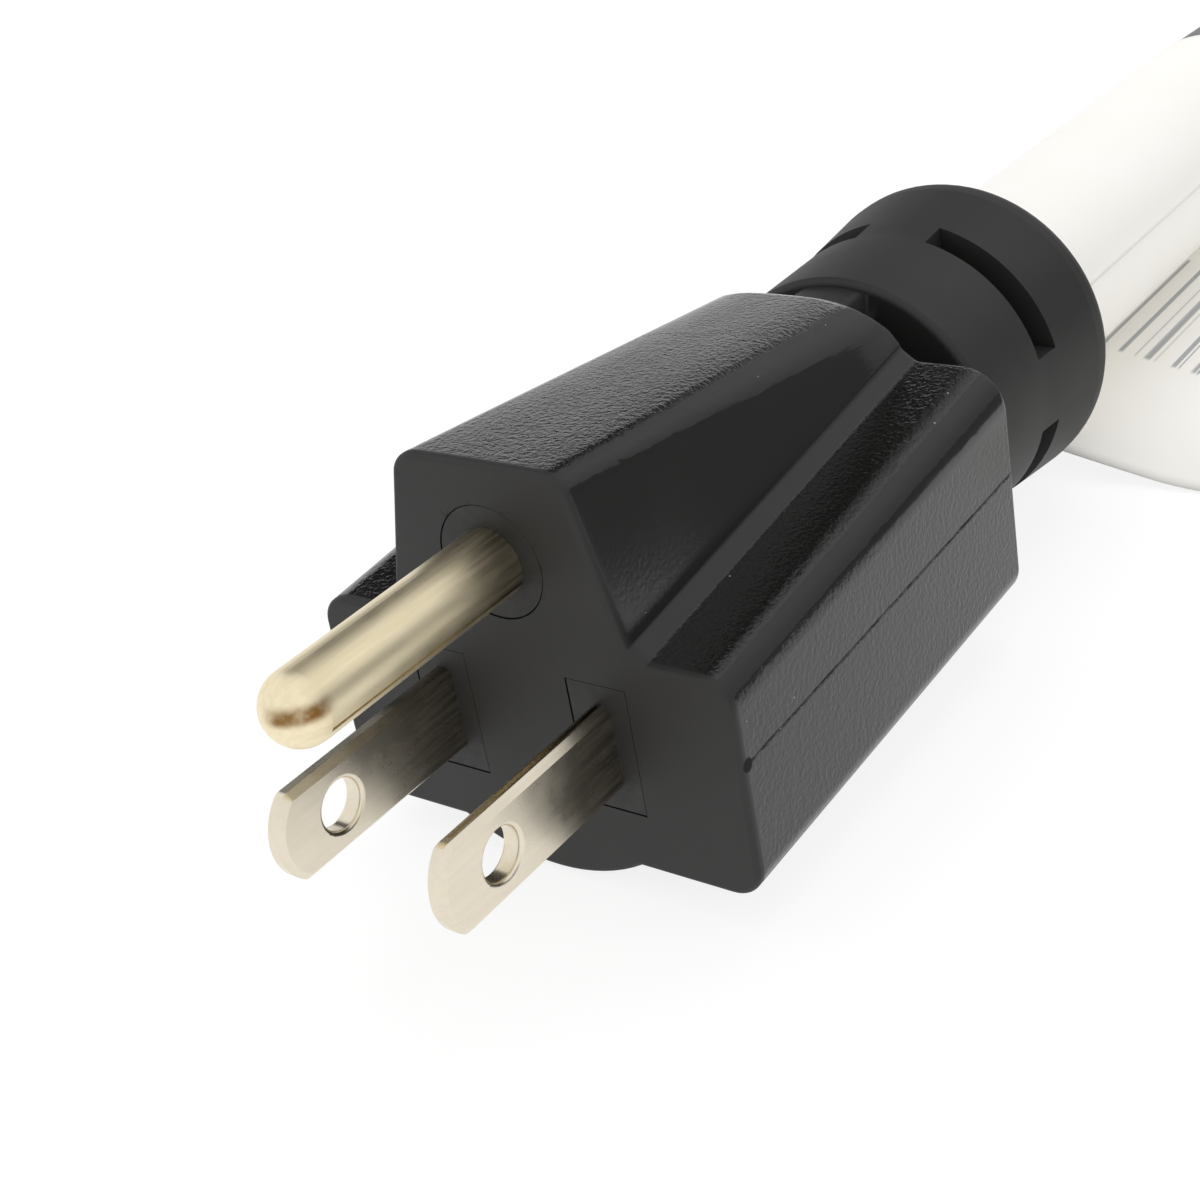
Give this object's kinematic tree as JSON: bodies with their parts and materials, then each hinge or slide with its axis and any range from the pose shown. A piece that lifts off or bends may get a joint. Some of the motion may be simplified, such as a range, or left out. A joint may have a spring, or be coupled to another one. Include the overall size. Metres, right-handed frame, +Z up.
{
  "type": "adapter cord",
  "caption": "Short heavy-duty adapter cord: moulded plug with flat blades and a round ground prong, slotted strain relief, thick round cord with a flag label, and a moulded outlet.",
  "frame": {"origin": "on the floor under the middle of the plug's box, prongs included", "axes": "+Y along the plug from the prongs to the cord, +Z up through the ground prong, +X to the line blade's side"},
  "size_m": [0.2309, 0.3136, 0.046],
  "materials": {
    "moulded_pvc": "black moulded PVC with a fine leather grain, semi-gloss",
    "insert_pvc": "black moulded PVC, smooth",
    "plated_prong": "nickel-plated brass, lightly drawn",
    "brass_contact": "bare stamped brass",
    "copper_strands": "bare copper strands",
    "line_insulation": "black PVC insulation",
    "neutral_insulation": "white PVC insulation",
    "ground_insulation": "green PVC insulation",
    "cord_jacket": "black extruded PVC jacket",
    "label_sheet": null
  },
  "bodies": {
    "root": {"plug_body": "moulded_pvc", "prong_insert": "insert_pvc", "line_blade": "plated_prong", "neutral_blade": "plated_prong", "ground_pin": "plated_prong", "cord": "cord_jacket", "label": "label_sheet", "outlet_body": "moulded_pvc", "outlet_core": "insert_pvc", "plug_line_insulation": "line_insulation", "plug_line_strands": "copper_strands", "plug_neutral_insulation": "neutral_insulation", "plug_neutral_strands": "copper_strands", "plug_ground_insulation": "ground_insulation", "plug_ground_strands": "copper_strands", "outlet_line_insulation": "line_insulation", "outlet_line_strands": "copper_strands", "outlet_neutral_insulation": "neutral_insulation", "outlet_neutral_strands": "copper_strands", "outlet_ground_insulation": "ground_insulation", "outlet_ground_strands": "copper_strands", "outlet_line_contact": "brass_contact", "outlet_neutral_contact": "brass_contact", "outlet_ground_contact": "brass_contact"}
  },
  "joints": []
}
